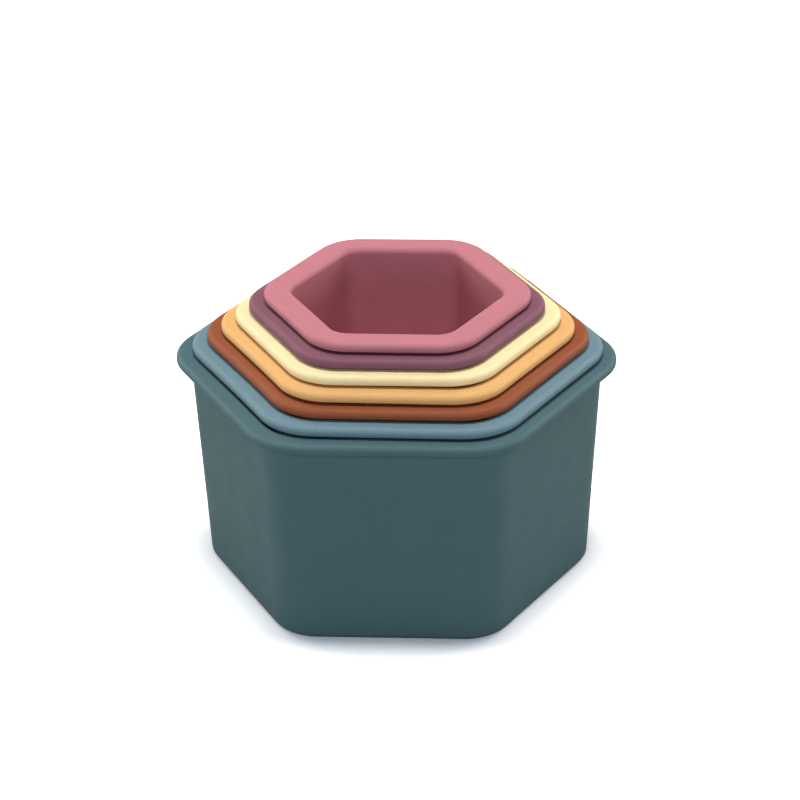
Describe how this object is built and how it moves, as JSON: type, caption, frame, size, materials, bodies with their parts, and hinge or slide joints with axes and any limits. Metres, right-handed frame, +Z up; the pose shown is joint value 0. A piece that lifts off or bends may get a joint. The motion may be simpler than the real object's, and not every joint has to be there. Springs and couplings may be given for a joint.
{
  "type": "stacking cup tower",
  "caption": "Nested set of hexagonal silicone stacking cups with wide flat rims, each smaller cup lifting out of the next larger one.",
  "frame": {"origin": "middle of the underside of the largest cup, on the surface that the set stands on", "axes": "+Z up, along which the cups lift out; the hexagons have flats facing -Y and +Y and corners towards -X and +X"},
  "size_m": [0.0972, 0.088, 0.0662],
  "materials": {
    "teal_silicone": "matte moulded silicone",
    "blue_silicone": "matte moulded silicone",
    "rust_silicone": "matte moulded silicone",
    "mustard_silicone": "matte moulded silicone",
    "cream_silicone": "matte moulded silicone",
    "plum_silicone": "matte moulded silicone",
    "pink_silicone": "matte moulded silicone"
  },
  "bodies": {
    "teal_cup": {"teal_cup": "teal_silicone"},
    "blue_cup": {"blue_cup": "blue_silicone"},
    "rust_cup": {"rust_cup": "rust_silicone"},
    "mustard_cup": {"mustard_cup": "mustard_silicone"},
    "cream_cup": {"cream_cup": "cream_silicone"},
    "plum_cup": {"plum_cup": "plum_silicone"},
    "pink_cup": {"pink_cup": "pink_silicone"}
  },
  "joints": [
    {"name": "blue_cup_lift", "type": "slide", "parent": "teal_cup", "child": "blue_cup", "axis": [0, 0, 1], "range_m": [0, 0.0508]},
    {"name": "rust_cup_lift", "type": "slide", "parent": "blue_cup", "child": "rust_cup", "axis": [0, 0, 1], "range_m": [0, 0.047]},
    {"name": "mustard_cup_lift", "type": "slide", "parent": "rust_cup", "child": "mustard_cup", "axis": [0, 0, 1], "range_m": [0, 0.0432]},
    {"name": "cream_cup_lift", "type": "slide", "parent": "mustard_cup", "child": "cream_cup", "axis": [0, 0, 1], "range_m": [0, 0.0394]},
    {"name": "plum_cup_lift", "type": "slide", "parent": "cream_cup", "child": "plum_cup", "axis": [0, 0, 1], "range_m": [0, 0.0356]},
    {"name": "pink_cup_lift", "type": "slide", "parent": "plum_cup", "child": "pink_cup", "axis": [0, 0, 1], "range_m": [0, 0.0318]}
  ]
}
